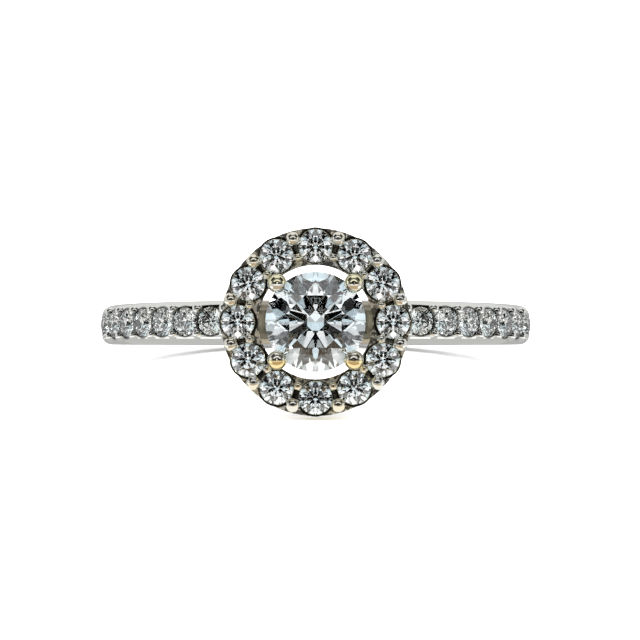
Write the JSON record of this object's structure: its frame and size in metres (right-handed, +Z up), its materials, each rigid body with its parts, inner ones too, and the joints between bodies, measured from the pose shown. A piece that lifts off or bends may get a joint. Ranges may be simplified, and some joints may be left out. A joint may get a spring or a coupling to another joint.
{
  "type": "halo ring",
  "caption": "Finger ring with a round brilliant in four prongs, a round halo of small brilliants and stone-set shoulders, lying on its side.",
  "frame": {"origin": "on the ground under the middle of the ring's outline, as it lies on its side", "axes": "+Z up, +Y from the head to the back of the shank, +X across the shank"},
  "size_m": [0.0208, 0.0239, 0.0089],
  "materials": {
    "white_gold": "polished white gold, worn a little warm on the halo and prongs",
    "center_diamond": "clear brilliant-cut stone",
    "halo_diamond": "clear brilliant-cut stone",
    "shoulder_diamond": "clear brilliant-cut stone"
  },
  "bodies": {
    "root": {"ring_mount": "white_gold", "center_stone": "center_diamond", "halo_stone_01": "halo_diamond", "halo_stone_02": "halo_diamond", "halo_stone_03": "halo_diamond", "halo_stone_04": "halo_diamond", "halo_stone_05": "halo_diamond", "halo_stone_06": "halo_diamond", "halo_stone_07": "halo_diamond", "halo_stone_08": "halo_diamond", "halo_stone_09": "halo_diamond", "halo_stone_10": "halo_diamond", "halo_stone_11": "halo_diamond", "halo_stone_12": "halo_diamond", "left_shoulder_stone_1": "shoulder_diamond", "left_shoulder_stone_2": "shoulder_diamond", "left_shoulder_stone_3": "shoulder_diamond", "left_shoulder_stone_4": "shoulder_diamond", "left_shoulder_stone_5": "shoulder_diamond", "left_shoulder_stone_6": "shoulder_diamond", "left_shoulder_stone_7": "shoulder_diamond", "right_shoulder_stone_1": "shoulder_diamond", "right_shoulder_stone_2": "shoulder_diamond", "right_shoulder_stone_3": "shoulder_diamond", "right_shoulder_stone_4": "shoulder_diamond", "right_shoulder_stone_5": "shoulder_diamond", "right_shoulder_stone_6": "shoulder_diamond", "right_shoulder_stone_7": "shoulder_diamond"}
  },
  "joints": []
}
